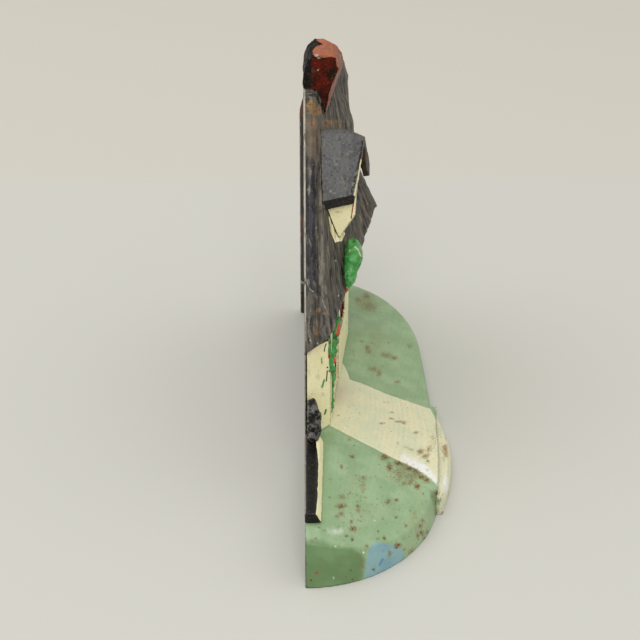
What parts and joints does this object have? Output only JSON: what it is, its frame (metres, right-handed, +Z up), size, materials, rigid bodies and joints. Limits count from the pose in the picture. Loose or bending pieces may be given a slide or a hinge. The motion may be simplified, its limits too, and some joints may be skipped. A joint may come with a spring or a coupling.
{
  "type": "cast iron doorstop",
  "caption": "Painted cast iron doorstop: a thatched cottage with a half-timbered gable, in deep relief on a hollow lawn base with a garden path, flat and open at the back.",
  "frame": {"origin": "centre of the bounding box's footprint, on the surface that the doorstop stands on", "axes": "+X along the cottage's front towards its tall gable end, -Y out of the front that carries the relief, +Z up"},
  "size_m": [0.215, 0.066, 0.169],
  "materials": {
    "lawn_paint": "satin sage green enamel with rust pits",
    "path_paint": "satin off-white enamel, rusted and worn at its edges",
    "cream_paint": "satin cream enamel",
    "thatch_paint": "semi-matt charcoal grey enamel over a rough cast surface",
    "brick_paint": "glossy dark red enamel, pink on the upper faces",
    "window_paint": "satin red enamel",
    "black_paint": "satin black enamel",
    "leaf_paint": "glossy mid green enamel with orange-red dabs for flowers"
  },
  "bodies": {
    "root": {"lawn_left": "lawn_paint", "lawn_right": "lawn_paint", "garden_path": "path_paint", "path_step": "path_paint", "garden_wall": "cream_paint", "left_verge": "thatch_paint", "right_verge": "thatch_paint", "main_roof": "thatch_paint", "gable_wall": "cream_paint", "front_wall": "cream_paint", "end_wall": "cream_paint", "chimney_stack": "brick_paint", "dormer_roof": "thatch_paint", "dormer_walls": "cream_paint", "dormer_window_frame": "window_paint", "dormer_window_panes": "black_paint", "front_door": "window_paint", "front_window_frame": "window_paint", "front_window_panes": "black_paint", "end_window_frame": "window_paint", "end_window_panes": "black_paint", "end_corner_post": "black_paint", "end_far_post": "black_paint", "end_sill_beam": "black_paint", "end_tie_beam": "black_paint", "end_brace_left": "black_paint", "end_brace_right": "black_paint", "end_foot_brace": "black_paint", "climbing_vine": "leaf_paint", "rose_clump": "leaf_paint", "corner_bush": "black_paint", "end_shrub": "leaf_paint"}
  },
  "joints": []
}
